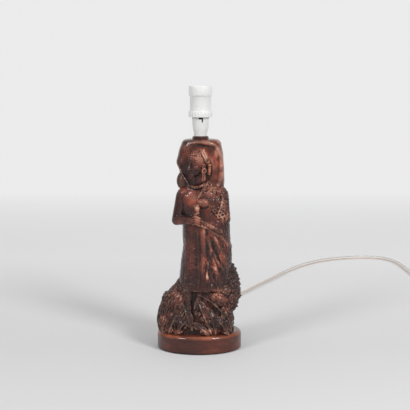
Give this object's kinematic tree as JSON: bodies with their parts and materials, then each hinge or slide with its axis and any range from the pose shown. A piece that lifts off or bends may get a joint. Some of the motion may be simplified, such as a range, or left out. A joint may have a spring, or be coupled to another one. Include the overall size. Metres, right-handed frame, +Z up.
{
  "type": "figural table lamp",
  "caption": "Carved wooden figural table lamp on an oval plinth, with a small screw lampholder, a clear flat lead, a rocker switch and a plug.",
  "frame": {"origin": "on the surface the lamp stands on, under the middle of the lampholder and its threaded rod", "axes": "+Z up along the lampholder; the carved figure faces -Y; +X is to the viewer's right, the side where the free lead lies"},
  "size_m": [0.4652, 0.5375, 0.2986],
  "materials": {
    "plinth_wood": "polished reddish-brown stain, glossy",
    "carved_wood": "dark reddish-brown stain with worn, lighter ridges, satin varnish",
    "felt": "plain dark felt",
    "holder_plastic": "white moulded plastic",
    "insert_plastic": "dark moulded insert",
    "brass_parts": "plain brass",
    "steel_parts": "zinc-plated steel",
    "lead_clear": "clear flexible insulation over two stranded cores",
    "core_copper": "stranded copper",
    "fitting_plastic": "white moulded plastic of the switch and the plug",
    "tie_plastic": "soft dark strap",
    "pin_metal": "nickel-plated pins"
  },
  "bodies": {
    "lamp": {"plinth": "plinth_wood", "felt_pad": "felt", "plinth_screws": "steel_parts", "carved_figure": "carved_wood", "threaded_rod": "brass_parts", "rod_washer": "steel_parts", "rod_nut": "brass_parts", "neck_collar": "plinth_wood", "holder_cap": "holder_plastic", "holder_insert": "insert_plastic", "screw_shell": "brass_parts", "centre_contact": "brass_parts", "holder_skirt": "holder_plastic", "terminals": "brass_parts", "terminal_screws": "steel_parts", "inner_cores": "core_copper", "inner_lead": "lead_clear", "exit_sleeve": "fitting_plastic", "cord_stretch": "lead_clear", "cord_tail": "lead_clear", "cord_coil": "lead_clear", "coil_tie": "tie_plastic", "plug_lead": "lead_clear", "plug_body": "fitting_plastic", "plug_pins": "pin_metal", "switch_base": "fitting_plastic", "switch_cover": "fitting_plastic", "rocker_pin": "steel_parts", "switch_screws": "steel_parts", "switch_contacts": "brass_parts"},
    "rocker": {"switch_rocker": "fitting_plastic"}
  },
  "joints": [
    {"name": "rocker_tilt", "type": "hinge", "parent": "lamp", "child": "rocker", "pos_m": [0.328, 0.269, 0.0124], "axis": [1, 0, 0], "range_deg": [0, 14]}
  ]
}
